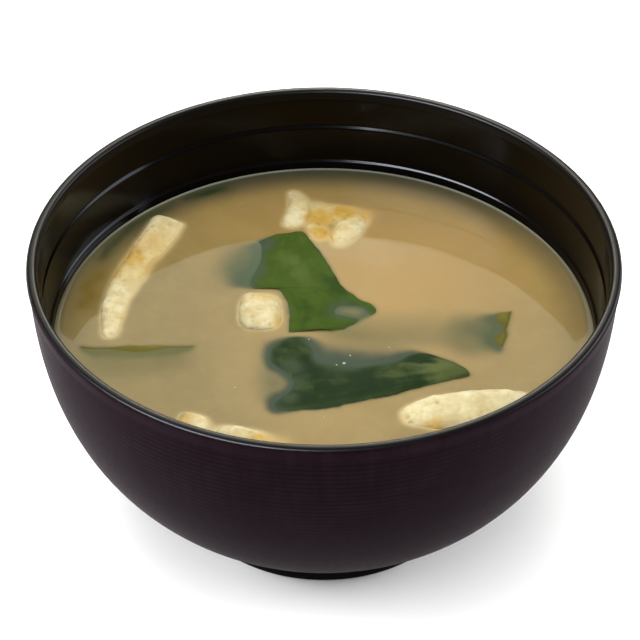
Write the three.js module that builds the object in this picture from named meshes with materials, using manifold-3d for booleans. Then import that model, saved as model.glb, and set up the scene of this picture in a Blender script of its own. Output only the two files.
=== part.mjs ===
// Miso soup with fried tofu and wakame in its round black bowl, in millimetres.
// +Z is up. The bowl stands on Z = 0 with its axis on Z, and -Y is the diner's side.
import * as THREE from 'three';
import { mergeVertices } from 'three/addons/utils/BufferGeometryUtils.js';
import Module from 'manifold-3d';

const wasm = await Module();
wasm.setup();

// ---------------------------------------------------------------- driving dimensions

const HEIGHT = 61.6; // table to the top of the rim
const RIM_RADIUS = 58.3;
const LIP_WIDTH = 2.1; // across the rounded rim
const LIP_SQUARENESS = 2.8; // 2 is a half circle, more is flatter on top
const LIP_BAND = 3; // plain band under the rim
const TURNS = 64; // flats round the bowl and the soup

// Outside of the body: radius * sqrt(1 - t^power), t running from 0 at a level a little
// above the rim to 1 where the curve would close under the foot.
const BODY = { radius: 58.03, aboveRim: 5, depth: 68.54, power: 2.72 };
const INSIDE = { radius: 55.65, aboveRim: 12, depth: 65.6, power: 4.4 };

const FLOOR = HEIGHT + INSIDE.aboveRim - INSIDE.depth; // lowest point of the inside

const STEP_BELOW_RIM = 8.5; // the fine step that runs round the inner wall
const STEP_IN = 0.35;
const STEP_DROP = 0.8;

const FOOT = { radius: 30.2, height: 5.6, ringWidth: 2.8, recess: 3.2, bevel: 0.4, draw: 0.5 };

const LEVEL = 42.1; // flat of the soup above the table
const CREEP = { width: 4, rise: 0.6 }; // how the soup climbs the wall
const GAP = 0.3; // clearance between touching pieces

const LEAF_THICKNESS = 0.9;
const LEAF_EDGE_THICKNESS = 0.45;

// Fried tofu: each piece is one or more chunks, swept along a path of [x, y, height above
// the soup] with half widths and half depths spread evenly along it. tilt turns a chunk
// about its path, in degrees, and blunt is how squarely its ends are cut off.
const TOFU = {
  tofu_left: [
    {
      path: [
        [-32.4, 36.4, -1.1], [-35.4, 28.2, -1.5], [-38.4, 20.5, -1.9],
        [-42, 10.5, -1.5], [-43, 2, -1.5], [-42.8, -4.2, -2.1],
      ],
      halfWidth: [4.4, 4.5, 4.2, 3.5, 2.6, 2.4],
      halfDepth: [2.3, 2.4, 2.3, 2.4, 2.3, 2.2],
      tilt: -11,
      blunt: 10,
    },
  ],
  tofu_middle: [
    {
      path: [[-13.4, 10.6, -0.9], [-13, 5, -0.7], [-12.6, -1.2, -1]],
      halfWidth: [4.2, 4.6, 4.3],
      halfDepth: [2.3, 2.5, 2.3],
      tilt: -6,
      blunt: 3.5,
    },
  ],
  tofu_back: [
    {
      path: [[-6.8, 47, -1.5], [-5.2, 39.6, -1.2], [-7.6, 32.6, -1.7]],
      halfWidth: [1.9, 2.9, 2.7],
      halfDepth: [1.9, 2.2, 2.1],
      tilt: -8,
      blunt: 4,
    },
    {
      path: [[10.6, 39.6, -2], [5.4, 32.6, -1.3], [2.5, 25.8, -1.5]],
      halfWidth: [2.2, 3.5, 2.4],
      halfDepth: [1.8, 2.1, 1.9],
      tilt: -6,
      blunt: 3.5,
    },
    {
      path: [[-5, 41.6, -1.6], [2, 38.2, -1.25], [9.4, 38.2, -1.6]],
      halfWidth: [3.2, 3.8, 2.8],
      halfDepth: [1.5, 1.6, 1.5],
      tilt: 0,
      blunt: 5,
    },
    {
      path: [[-2.4, 36.4, -1.5], [-0.9, 31.6, -1.3], [0.6, 28.4, -1.6]],
      halfWidth: [2.6, 2.6, 2],
      halfDepth: [1.5, 1.6, 1.5],
      tilt: 0,
      blunt: 5,
    },
  ],
  tofu_right: [
    {
      path: [
        [14.4, -27.5, -1.3], [22, -26.3, -0.9], [30, -25.5, -0.8],
        [38, -25, -0.9], [43.4, -23.8, -1.3],
      ],
      halfWidth: [3.4, 5.1, 5.6, 5.3, 4.6],
      halfDepth: [2.2, 2.5, 2.6, 2.5, 2.3],
      tilt: 4,
      blunt: 3.5,
    },
  ],
  tofu_front: [
    {
      path: [
        [-28.2, -27.7, -1.1], [-25.4, -28.6, -0.9], [-22, -31, -2.6],
        [-17.8, -32.6, -0.9], [-12, -34.3, -2], [-5.4, -35.8, -2.2],
      ],
      halfWidth: [2.6, 2.8, 2.7, 3, 3.2, 3],
      halfDepth: [2.3, 2.3, 2.1, 2.3, 2, 1.9],
      tilt: 0,
      blunt: 4,
    },
  ],
};

// Wakame leaves, each the sheet between two edges of [x, y, height above the soup], left and
// right as seen going along them. arch lifts the middle above the edges, ripple is the
// height of the waves, waves their number along and across, and dips are hollows in the
// leaf, each [x, y, radius, depth].
const WAKAME = {
  wakame_middle: {
    left: [
      [-4.4, 31.6, 0.1], [-1, 25.4, 0.1], [1.6, 18.8, 0], [3.8, 13.2, 0],
      [7.2, 9, 0], [10.9, 5.2, -0.1], [3.8, -1, -0.2],
    ],
    right: [
      [-11, 30.2, -0.2], [-19.8, 25.4, -1.5], [-22.3, 19, -1.4], [-20.2, 13, -1],
      [-9.8, 12.2, -0.2], [-7.2, 4.6, -0.1], [-7.2, -1.6, -0.1],
    ],
    arch: 0.5,
    ripple: 0.1,
    waves: [2.5, 1.5],
    dips: [[3.4, 5.2, 2.6, 1], [7, 4.6, 2.4, 0.9]],
  },
  wakame_front: {
    left: [
      [-12.4, -4.4, -1.2], [-5, -2.8, -0.2], [1.5, -5.2, -1.2], [8, -6, -1.4],
      [15, -6.4, -1.2], [20.7, -8.4, -0.2], [25, -10.8, 0], [28.4, -14, 0],
    ],
    right: [
      [-12.8, -14, -1.6], [-10.4, -26.2, -0.5], [-3.4, -25.4, -0.1], [3, -24.2, 0],
      [9, -22.2, 0], [14.6, -20.6, -0.1], [21.9, -17.6, -0.1], [28.5, -15, 0],
    ],
    arch: 0.5,
    ripple: 0.1,
    waves: [3, 1],
    dips: [[-9.6, -17.4, 4, 1.6]],
  },
  wakame_right: {
    left: [[38.1, 4.9, 0.1], [37.4, 0.6, -0.05], [36.5, -4, -0.05], [35.3, -8.6, -0.6]],
    right: [[25.8, 3.4, -1.3], [23.4, -1.2, -1.5], [24.2, -5.6, -1.6], [27.4, -9, -1.6]],
    arch: -0.3,
    ripple: 0.1,
    waves: [1.5, 1],
    dips: [],
  },
  wakame_left: {
    left: [[-49.2, -6, -0.2], [-42.7, -6.1, -0.05], [-34.7, -5.9, 0.05], [-25.5, -5.9, -0.2]],
    right: [[-46.1, -14.1, -2.4], [-40, -16, -2.7], [-33.2, -15.4, -2.7], [-27.4, -12.3, -2.5]],
    arch: 0,
    ripple: 0.1,
    waves: [2, 1],
    dips: [],
  },
};

// ---------------------------------------------------------------- shapes and solids

// Radius at height z of a turned wall that follows one of the curves above.
function wallRadius(curve, z) {
  const t = Math.min(1, (HEIGHT - z + curve.aboveRim) / curve.depth);
  return curve.radius * Math.sqrt(1 - t ** curve.power);
}

function insideRadius(z) {
  const below = HEIGHT - z - STEP_BELOW_RIM;
  const step = STEP_IN * (1 - THREE.MathUtils.clamp(below / STEP_DROP, 0, 1));
  return wallRadius(INSIDE, z) + step;
}

// Heights from one level to another, closer together towards the last one.
function levels(from, to, count) {
  const heights = [];
  for (let i = 0; i <= count; i += 1) {
    heights.push(from + (to - from) * Math.sin((Math.PI / 2) * (i / count)));
  }
  return heights;
}

function turned(profile) {
  return new THREE.LatheGeometry(profile, TURNS).rotateX(Math.PI / 2);
}

// A closed body of one ring of points after another, shut by a point at each end.
function ringBody(rings, firstEnd, lastEnd) {
  const count = rings[0].length;
  const positions = [firstEnd, ...rings.flat(), lastEnd].flatMap((p) => [p.x, p.y, p.z]);
  const last = positions.length / 3 - 1;
  const at = (ring, i) => 1 + ring * count + (i % count);
  const index = [];
  for (let i = 0; i < count; i += 1) {
    index.push(0, at(0, i), at(0, i + 1));
    for (let ring = 0; ring + 1 < rings.length; ring += 1) {
      index.push(at(ring, i), at(ring + 1, i + 1), at(ring, i + 1));
      index.push(at(ring, i), at(ring + 1, i), at(ring + 1, i + 1));
    }
    index.push(last, at(rings.length - 1, i + 1), at(rings.length - 1, i));
  }
  return indexed(positions, index);
}

function indexed(positions, index) {
  const geometry = new THREE.BufferGeometry();
  geometry.setAttribute('position', new THREE.Float32BufferAttribute(positions, 3));
  geometry.setIndex(index);
  return geometry;
}

function toSolid(geometry) {
  const bare = geometry.clone();
  bare.deleteAttribute('normal');
  bare.deleteAttribute('uv');
  const merged = mergeVertices(bare, 1e-4);
  const vertProperties = new Float32Array(merged.getAttribute('position').array);
  const triVerts = new Uint32Array(merged.getIndex().array);
  return new wasm.Manifold(new wasm.Mesh({ numProp: 3, vertProperties, triVerts }));
}

function toGeometry(solid) {
  const { vertProperties, triVerts } = solid.getMesh();
  const geometry = indexed(vertProperties, Array.from(triVerts)).toNonIndexed();
  geometry.computeVertexNormals();
  return geometry;
}

function fused(solids) {
  return solids.reduce((whole, solid) => whole.add(solid));
}

// ---------------------------------------------------------------- the bowl

// Value's power of 2 / squareness with its sign kept, which squares off a cosine or sine.
function squared(value, squareness) {
  return Math.sign(value) * Math.abs(value) ** (2 / squareness);
}

function lipArc() {
  const radius = LIP_WIDTH / 2;
  const steps = 6;
  const arc = [];
  for (let i = 0; i <= steps; i += 1) {
    const turn = (Math.PI * i) / steps;
    const outwards = radius * squared(Math.cos(turn), LIP_SQUARENESS);
    const upwards = radius * squared(Math.sin(turn), LIP_SQUARENESS);
    arc.push([RIM_RADIUS - radius + outwards, HEIGHT - radius + upwards]);
  }
  return arc;
}

function bowlProfile() {
  const underside = [
    [0, FOOT.recess],
    [FOOT.radius - FOOT.ringWidth, FOOT.recess],
    [FOOT.radius - FOOT.ringWidth, FOOT.bevel],
    [FOOT.radius - FOOT.ringWidth + FOOT.bevel, 0],
    [FOOT.radius - FOOT.bevel, 0],
    [FOOT.radius, FOOT.bevel],
    [FOOT.radius - FOOT.draw, FOOT.height],
  ];
  const outside = levels(HEIGHT - LIP_BAND, FOOT.height + FOOT.bevel, 9)
    .reverse()
    .map((z) => [wallRadius(BODY, z), z]);
  const stepTop = HEIGHT - STEP_BELOW_RIM;
  const inside = [stepTop, ...levels(stepTop - STEP_DROP, FLOOR, 10)].map((z) => [insideRadius(z), z]);
  return [...underside, ...outside, ...lipArc(), ...inside].map(([r, z]) => new THREE.Vector2(r, z));
}

// ---------------------------------------------------------------- the soup

function soupBlank() {
  const besideWall = (z) => [Math.max(0, insideRadius(z - GAP) - GAP), z];
  const wall = levels(LEVEL + CREEP.rise, FLOOR + GAP, 8).reverse().map(besideWall);
  const edge = wall[wall.length - 1][0];
  const surface = [0.2, 0.5, 1].map((part) => [
    edge - part * CREEP.width,
    LEVEL + CREEP.rise * (1 - part) ** 3,
  ]);
  const profile = [...wall, ...surface, [0, LEVEL]].map(([r, z]) => new THREE.Vector2(r, z));
  return toSolid(turned(profile));
}

function largestBody(solid) {
  return solid.decompose().reduce((best, body) => (body.volume() > best.volume() ? body : best));
}

// ---------------------------------------------------------------- what lies in it

function pathOf(points) {
  return new THREE.CatmullRomCurve3(points.map(([x, y, h]) => new THREE.Vector3(x, y, LEVEL + h)));
}

// Value at u of numbers spread evenly from 0 to 1.
function spread(values, u) {
  const place = u * (values.length - 1);
  const i = Math.min(values.length - 2, Math.floor(place));
  return THREE.MathUtils.lerp(values[i], values[i + 1], place - i);
}

const CHUNK_RINGS = 11;
const CHUNK_SIDES = 12;
const CHUNK_SQUARENESS = 3; // 2 is an ellipse, more is boxier
const CHUNK_LUMPS = 0.07;

// One chunk of fried tofu, grown by a clearance for the hollow it leaves in the soup.
function tofuChunk({ path, halfWidth, halfDepth, tilt, blunt }, clearance) {
  const curve = pathOf(path);
  const upright = new THREE.Vector3(0, 0, 1);
  const rings = [];
  for (let ring = 1; ring <= CHUNK_RINGS; ring += 1) {
    const u = (1 - Math.cos((Math.PI * ring) / (CHUNK_RINGS + 1))) / 2;
    const along = curve.getTangentAt(u);
    const side = new THREE.Vector3().crossVectors(along, upright).normalize();
    side.applyAxisAngle(along, THREE.MathUtils.degToRad(tilt));
    const top = new THREE.Vector3().crossVectors(side, along);
    const closing = (1 - Math.abs(2 * u - 1) ** blunt) ** (1 / blunt);
    const centre = curve.getPointAt(u).addScaledVector(along, (2 * u - 1) * clearance);
    const points = [];
    for (let i = 0; i < CHUNK_SIDES; i += 1) {
      const turn = (2 * Math.PI * i) / CHUNK_SIDES;
      const lump = closing * (1 + CHUNK_LUMPS * Math.sin(9 * u + 2 * turn) * Math.cos(17 * u - turn));
      const across = squared(Math.cos(turn), CHUNK_SQUARENESS) * (spread(halfWidth, u) * lump + clearance);
      const upwards = squared(Math.sin(turn), CHUNK_SQUARENESS) * (spread(halfDepth, u) * lump + clearance);
      points.push(centre.clone().addScaledVector(side, across).addScaledVector(top, upwards));
    }
    rings.push(points);
  }
  const endPoint = (u, onwards) => curve.getPointAt(u).addScaledVector(curve.getTangentAt(u), onwards);
  return toSolid(ringBody(rings, endPoint(0, -clearance), endPoint(1, clearance)));
}

function tofu(chunks, clearance = 0) {
  return fused(chunks.map((chunk) => tofuChunk(chunk, clearance)));
}

const LEAF_CELLS_ALONG = 12;
const LEAF_CELLS_ACROSS = 8;

// Indices of the sheet's border points in order, in a grid of rows of (across) points.
function borderOf(rows, across) {
  const at = (i, j) => i * across + j;
  const border = [];
  for (let i = 0; i < rows - 1; i += 1) border.push(at(i, 0));
  for (let j = 0; j < across - 1; j += 1) border.push(at(rows - 1, j));
  for (let i = rows - 1; i > 0; i -= 1) border.push(at(i, across - 1));
  for (let j = across - 1; j > 0; j -= 1) border.push(at(0, j));
  return border;
}

// Pushes the border points of a sheet outwards, level with the table.
function widenSheet(sheet, border, clearance) {
  const count = border.length;
  const shifts = border.map((_, k) => {
    const before = sheet[border[(k + count - 1) % count]];
    const after = sheet[border[(k + 1) % count]];
    const outwards = new THREE.Vector3(before.y - after.y, after.x - before.x, 0).normalize();
    return outwards.multiplyScalar(clearance);
  });
  border.forEach((point, k) => sheet[point].add(shifts[k]));
}

function dipAt(point, dips) {
  return dips.reduce((sum, [x, y, radius, depth]) => {
    const away = ((point.x - x) ** 2 + (point.y - y) ** 2) / radius ** 2;
    return sum + depth * Math.exp(-away);
  }, 0);
}

// One leaf of wakame, grown by a clearance as the chunks are.
function wakame({ left, right, arch, ripple, waves, dips }, clearance = 0) {
  const leftEdge = pathOf(left);
  const rightEdge = pathOf(right);
  const rows = LEAF_CELLS_ALONG + 1;
  const across = LEAF_CELLS_ACROSS + 1;
  const sheet = [];
  for (let i = 0; i < rows; i += 1) {
    const u = i / LEAF_CELLS_ALONG;
    for (let j = 0; j < across; j += 1) {
      const v = j / LEAF_CELLS_ACROSS;
      const point = leftEdge.getPoint(u).lerp(rightEdge.getPoint(u), v);
      const along = Math.sin(2 * Math.PI * waves[0] * u + 1);
      const sideways = Math.sin(2 * Math.PI * waves[1] * v + 2 * u);
      point.z += arch * Math.sin(Math.PI * v) + ripple * along * sideways - dipAt(point, dips);
      sheet.push(point);
    }
  }
  const border = borderOf(rows, across);
  widenSheet(sheet, border, clearance);
  const onBorder = new Set(border);
  const faceOf = (side) =>
    sheet.flatMap((point, k) => {
      const thickness = onBorder.has(k) ? LEAF_EDGE_THICKNESS : LEAF_THICKNESS;
      return [point.x, point.y, point.z + side * (thickness / 2 + clearance)];
    });
  const below = sheet.length;
  const index = [];
  for (let i = 0; i < LEAF_CELLS_ALONG; i += 1) {
    for (let j = 0; j < LEAF_CELLS_ACROSS; j += 1) {
      const a = i * across + j;
      const [b, c, d] = [a + across, a + across + 1, a + 1];
      index.push(a, c, b, a, d, c);
      index.push(below + a, below + b, below + c, below + a, below + c, below + d);
    }
  }
  border.forEach((a, k) => {
    const b = border[(k + 1) % border.length];
    index.push(a, b, below + b, a, below + b, below + a);
  });
  return toSolid(indexed([...faceOf(1), ...faceOf(-1)], index));
}

// ---------------------------------------------------------------- the assembled bowl of soup

const MATERIALS = {
  bowl: { color: 0x1d1418, roughness: 0.35, metalness: 0 },
  soup: { color: 0xb0946a, roughness: 0.15, metalness: 0 },
  tofu: { color: 0xe6d6a2, roughness: 0.7, metalness: 0 },
  wakame: { color: 0x2f4a24, roughness: 0.3, metalness: 0 },
};

const group = new THREE.Group();
group.name = 'miso_soup';

function addPiece(name, material, geometry) {
  const mesh = new THREE.Mesh(geometry, new THREE.MeshStandardMaterial(MATERIALS[material]));
  mesh.name = name;
  group.add(mesh);
}

addPiece('bowl', 'bowl', turned(bowlProfile()));

const hollows = [];
for (const [name, chunks] of Object.entries(TOFU)) {
  addPiece(name, 'tofu', toGeometry(tofu(chunks)));
  hollows.push(tofu(chunks, GAP));
}
for (const [name, leaf] of Object.entries(WAKAME)) {
  addPiece(name, 'wakame', toGeometry(wakame(leaf)));
  hollows.push(wakame(leaf, GAP));
}
addPiece('soup', 'soup', toGeometry(largestBody(soupBlank().subtract(fused(hollows)))));

export default group;
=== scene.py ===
"""Miso soup with fried tofu and wakame in a round black bowl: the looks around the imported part.

Sizes are in millimetres, which MM turns into Blender's metres. +Z is up, the bowl's axis is Z,
and -Y is the diner's side, where the camera is.
"""
import math

import bmesh
import bpy
import numpy as np
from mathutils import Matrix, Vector, noise
from mathutils.bvhtree import BVHTree


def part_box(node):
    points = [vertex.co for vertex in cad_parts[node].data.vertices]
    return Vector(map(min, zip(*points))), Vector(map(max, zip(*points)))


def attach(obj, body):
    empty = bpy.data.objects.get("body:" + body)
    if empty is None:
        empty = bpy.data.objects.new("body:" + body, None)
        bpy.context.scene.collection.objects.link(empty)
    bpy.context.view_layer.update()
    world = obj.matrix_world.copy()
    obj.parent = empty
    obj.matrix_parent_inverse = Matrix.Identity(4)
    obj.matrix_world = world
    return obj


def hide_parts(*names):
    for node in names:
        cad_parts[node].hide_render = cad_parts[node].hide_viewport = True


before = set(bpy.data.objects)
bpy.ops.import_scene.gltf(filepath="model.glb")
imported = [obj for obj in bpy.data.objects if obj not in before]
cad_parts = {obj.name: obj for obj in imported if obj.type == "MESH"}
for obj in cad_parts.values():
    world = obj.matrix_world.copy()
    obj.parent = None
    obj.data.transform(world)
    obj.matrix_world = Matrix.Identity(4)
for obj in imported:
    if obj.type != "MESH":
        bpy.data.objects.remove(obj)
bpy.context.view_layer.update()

# ---------------------------------------------------------------- sizes, in millimetres

MM = 0.001

BOWL_LOW, BOWL_HIGH = (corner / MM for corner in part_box("bowl"))
HEIGHT = BOWL_HIGH.z
RIM_RADIUS = (BOWL_HIGH.x - BOWL_LOW.x) / 2
LIP_WIDTH = 2.1
LIP_SQUARENESS = 2.8
LIP_BAND = 3.0

# Outside and inside of the body: radius * sqrt(1 - t ** power), with t from 0 a little above
# the rim to 1 where the curve would close.
BODY = {"radius": 58.03, "above_rim": 5, "depth": 68.54, "power": 2.72}
INSIDE = {"radius": 55.65, "above_rim": 12, "depth": 65.6, "power": 4.4}
FLOOR = HEIGHT + INSIDE["above_rim"] - INSIDE["depth"]

STEP_BELOW_RIM = 8.5
STEP_IN = 0.5
STEP_DROP = 0.8
WET_EDGE = {"above": 2.0, "in": 0.35, "drop": 0.6}  # fine ledge just above where the soup ends

FOOT = {"radius": 30.2, "height": 5.6, "ring": 2.8, "recess": 3.2, "bevel": 0.4, "draw": 0.5,
        "rounding": 0.5}

GROOVE_PITCH = 1.15
GROOVE_DEPTH = 0.012
SEGMENTS = 224
OUTLINE_SAMPLES = 2000  # points that the side's curve is measured with
LIP_ROWS = 25
ARC_STEPS = 3
SHOULDER_ROWS = 6  # rows of the lip that still have the finish of the outside
RECESS_LOOP = 6  # width of the outer ring of faces in the recess, which keeps its middle flat
FINE_DEPTH = 2  # how far below the soup's level the wall still has fine faces

CREEP_WIDTH = 4.0
CREEP_RISE = 0.6
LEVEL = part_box("soup")[1].z / MM - CREEP_RISE
SOUP_EDGE = LEVEL + CREEP_RISE  # where the soup ends on the wall
LEDGE_TOP = SOUP_EDGE + WET_EDGE["above"]

# Wakame leaves: the sheet between two edges of [x, y, height above the soup], left and right
# as seen going along them. Between its edges a leaf has an arch, and waves as high as its ripple:
# so many along it, so many across. Its dips are hollows, each [x, y, radius, depth].
WAKAME = {
    "wakame_middle": {
        "left": [[-4.4, 31.6, 0.1], [-1, 25.4, 0.1], [1.6, 18.8, 0], [3.8, 13.2, 0], [7.2, 9, 0],
                 [10.9, 5.2, -0.1], [3.8, -1, -0.2]],
        "right": [[-11, 30.2, -0.2], [-19.8, 25.4, -1.5], [-22.3, 19, -1.4], [-20.2, 13, -1],
                  [-9.8, 12.2, -0.2], [-7.2, 4.6, -0.1], [-7.2, -1.6, -0.1]],
        "arch": 0.5, "ripple": 0.1, "waves": (2.5, 1.5),
        "dips": [[3.4, 5.2, 2.6, 1], [7, 4.6, 2.4, 0.9]],
    },
    "wakame_front": {
        "left": [[-12.4, -4.4, -1.2], [-5, -2.8, -0.2], [1.5, -5.2, -1.2], [8, -6, -1.4],
                 [15, -6.4, -1.2], [20.7, -8.4, -0.2], [25, -10.8, 0], [28.4, -14, 0]],
        "right": [[-12.8, -14, -1.6], [-10.4, -26.2, -0.5], [-3.4, -25.4, -0.1], [3, -24.2, 0],
                  [9, -22.2, 0], [14.6, -20.6, -0.1], [21.9, -17.6, -0.1], [28.5, -15, 0]],
        "arch": 0.5, "ripple": 0.1, "waves": (3, 1),
        "dips": [[-9.6, -17.4, 4, 1.6]],
    },
    "wakame_right": {
        "left": [[38.1, 4.9, 0.1], [37.4, 0.6, -0.05], [36.5, -4, -0.05], [35.3, -8.6, -0.6]],
        "right": [[25.8, 3.4, -1.3], [23.4, -1.2, -1.5], [24.2, -5.6, -1.6], [27.4, -9, -1.6]],
        "arch": -0.3, "ripple": 0.1, "waves": (1.5, 1), "dips": [],
    },
    "wakame_left": {
        "left": [[-49.2, -6, -0.2], [-42.7, -6.1, -0.05], [-34.7, -5.9, 0.05], [-25.5, -5.9, -0.2]],
        "right": [[-46.1, -14.1, -2.4], [-40, -16, -2.7], [-33.2, -15.4, -2.7],
                  [-27.4, -12.3, -2.5]],
        "arch": 0, "ripple": 0.1, "waves": (2, 1), "dips": [],
    },
}
# Leaves that lie wholly under the surface and show only as a tint.
SUNK_WAKAME = {
    "sunk_wakame_back": {
        "left": [[-31, 43.7, -1.0], [-26.5, 46.6, -0.8], [-20.5, 49.2, -1.0]],
        "right": [[-29.6, 41.6, -1.5], [-25.4, 44, -1.3], [-19.6, 46.4, -1.5]],
        "arch": 0.2, "ripple": 0.2, "waves": (1, 1), "dips": [],
    },
    "sunk_wakame_wall": {
        "left": [[-50.6, 6, -0.9], [-50, 13, -0.8], [-47.4, 20.5, -1.2]],
        "right": [[-46, 5, -1.7], [-44.8, 12, -1.7], [-43.2, 19.5, -1.9]],
        "arch": 0.2, "ripple": 0.2, "waves": (2, 1), "dips": [],
    },
    "sunk_wakame_edge": {
        "left": [[-47.6, 21.6, -1.0], [-44.6, 29.3, -0.7], [-40.6, 34.9, -0.7], [-36.4, 39.4, -0.8],
                 [-31.8, 43, -1.0]],
        "right": [[-45.2, 20.6, -1.7], [-42.6, 28, -1.3], [-38.8, 33.2, -1.3], [-35, 37.4, -1.4],
                  [-31, 40.8, -1.6]],
        "arch": 0.1, "ripple": 0.15, "waves": (2, 1), "dips": [],
    },
    "sunk_wakame_centre": {
        "left": [[-4, 1.5, -2.1], [8.4, 3.6, -3.0], [15.5, 4.4, -3.3], [24, 4.4, -3.2]],
        "right": [[-1.2, -2.4, -1.4], [6, -5.0, -1.2], [14.2, -5.4, -1.4], [24, -6.5, -2.1]],
        "arch": 0.1, "ripple": 0.15, "waves": (2, 1), "dips": [],
    },
}
# Colours of wakame flesh, from its darkest patches to its lightest, then under a film of soup, and
# as it shows through the soup when it is sunk.
WAKAME_COLOURS = {
    "bright": {
        "deep": (0.018, 0.038, 0.006), "middle": (0.036, 0.062, 0.008), "light": (0.062, 0.088, 0.018),
        "film": (0.047, 0.065, 0.040), "sunk": (0.028, 0.046, 0.013),
    },
    "dark": {
        "deep": (0.006, 0.015, 0.006), "middle": (0.011, 0.022, 0.008), "light": (0.064, 0.080, 0.026),
        "film": (0.036, 0.052, 0.027), "sunk": (0.012, 0.025, 0.010),
    },
    "olive": {
        "deep": (0.034, 0.045, 0.006), "middle": (0.088, 0.082, 0.010), "light": (0.130, 0.112, 0.020),
        "film": (0.068, 0.062, 0.018), "sunk": (0.030, 0.041, 0.008),
    },
    "faded": {
        "deep": (0.075, 0.068, 0.010), "middle": (0.108, 0.096, 0.018), "light": (0.145, 0.120, 0.030),
        "film": (0.096, 0.078, 0.016), "sunk": (0.070, 0.066, 0.010),
    },
    "ochre": {
        "deep": (0.070, 0.055, 0.012), "middle": (0.085, 0.066, 0.016), "light": (0.100, 0.080, 0.020),
        "film": (0.060, 0.055, 0.022), "sunk": (0.112, 0.078, 0.013),
    },
}
# Where the leaves are paler, or darker if the amount is negative: [x, y, radius, amount].
PALE = {
    "wakame_middle": [[-7, 19, 5, 0.25], [-9, 7, 3, 0.1], [3, 13, 4, -0.4], [-16, 27, 4, -0.35],
                      [0, 25, 2.5, -0.3], [9, 6, 3, -0.3], [-4, 3, 4, -0.3]],
    "wakame_front": [[27, -15, 6, 0.9], [13, -14, 3, 0.2], [22, -9, 3, -0.15]],
    "wakame_left": [[-45, -6, 5, 0.2], [-34, -6, 5, 0.2]],
}
# Where soup washes thinly over the leaves: [x, y, radius].
MILKY = {
    "wakame_middle": [[-12.5, 27.5, 2.5], [-14.5, 22, 2.5], [-15.5, 17, 2.5], [4, 5, 3]],
    "wakame_front": [[-6.5, -13, 2.5], [-6, -17.5, 2.5], [-6.8, -22, 2], [2, -9, 2.5], [8, -9.4, 2],
                     [14, -9, 2]],
    "wakame_right": [[33.5, 1, 2], [33, -4, 2]],
}
WAKAME_KIND = {
    "wakame_middle": "bright", "wakame_front": "dark", "wakame_right": "olive", "wakame_left": "faded",
    "sunk_wakame_back": "dark", "sunk_wakame_wall": "ochre", "sunk_wakame_edge": "dark",
    "sunk_wakame_centre": "olive",
}
LEAF_THICKNESS = 0.9
LEAF_ROUNDING = 0.5
LEAF_CELL = 0.4
CURVE_STEPS = 32
LEAF_TAPER = 2.5  # width along a leaf's edges in which it thins
THIN_EDGE = 3.0  # width along a leaf's edges in which light shines through
AWASH = 0.24  # a leaf that rises less than this above the soup is under a film of it
WOBBLE = 0.32  # how far the outline of a leaf wanders
RELIEF = 0.03  # height of a leaf's veins, and of its creases
VEIN_WIDTH = 2.2
VEINS_ALONG = 3  # changes of a vein from one end of its leaf to the other

TOFU = ["tofu_left", "tofu_middle", "tofu_back", "tofu_right", "tofu_front"]
TOFU_VOXEL = 0.32
TOFU_RELIEF = {"lumps": 0.14, "wrinkles": 0.08, "pores": 0.3}
TOFU_SOAKED = 0.5  # height above the soup up to which tofu is darker
PORES = [[2.6, 0.75, 0], [1.5, 0.45, 17]]  # two kinds of pores: [spacing, radius, seed]

# Where the fried skin shows on the tofu: [x, y, radius of the patch, how golden it is].
SKIN = {
    "tofu_left": [[-40, 22, 4.5, 0.9], [-43, 17, 3, 0.7], [-38.5, 20, 7, 0.45], [-36.5, 26.5, 5, 0.5],
                  [-33, 30, 3.5, 0.3], [-40.5, 3, 2.5, 0.4]],
    "tofu_middle": [[-8.6, 1, 2.5, 0.8], [-12, 9, 3, 0.35]],
    "tofu_back": [[-1, 30, 4.6, 1], [-0.6, 36.5, 4.8, 1], [4.5, 39, 4.6, 1], [10, 38.5, 4.5, 0.9],
                  [4.5, 31, 3, 0.3], [-6, 41, 5, 0.15]],
    "tofu_right": [[21, -31.5, 3, 0.9], [13, -29, 3, 0.7]],
    "tofu_front": [[-12, -35.5, 4, 1], [-5.4, -36.5, 6, 1], [-27, -29, 3, 0.6]],
}

# Bubbles on the soup: [x, y, radius].
BUBBLES = [
    [4, -11.4, 0.32], [5.2, -9, 0.16], [-2.2, -13.5, 0.2], [-6.5, -14.8, 0.18],
    [-17.4, -18.7, 0.2], [-3, -4, 0.18], [13, -6.5, 0.16], [0, -27.5, 0.2],
    [2.5, -11.9, 0.16], [-1.1, -12.8, 0.13],
]
BUBBLE_RINGS, BUBBLE_SIDES = 5, 14
BUBBLE_LEAN = 0.62 * math.pi  # angle from the top of a bubble to its foot

# Where the soup is warmer and lighter: [x, y, radius, amount].
WARM = [[16, 16, 30, 1.0], [2, -38, 16, 0.3], [-20, 40, 14, 0.3]]

# ---------------------------------------------------------------- the camera and the light

# Distance and elevation are from the rim's centre, and tilt is how far down the camera looks.
CAMERA = {
    "distance": 450, "elevation": math.radians(37.46), "tilt": math.radians(39.21),
    "aside": -0.79, "sensor": 36, "lens": 128.94,
}


def add_camera():
    data = bpy.data.cameras.new("camera")
    data.sensor_width = CAMERA["sensor"]
    data.lens = CAMERA["lens"]
    camera = bpy.data.objects.new("camera", data)
    away = CAMERA["distance"] * math.cos(CAMERA["elevation"])
    above = HEIGHT + CAMERA["distance"] * math.sin(CAMERA["elevation"])
    camera.location = Vector((CAMERA["aside"], -away, above)) * MM
    camera.rotation_euler = (math.pi / 2 - CAMERA["tilt"], 0, 0)
    bpy.context.scene.collection.objects.link(camera)
    bpy.context.scene.camera = camera


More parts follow.
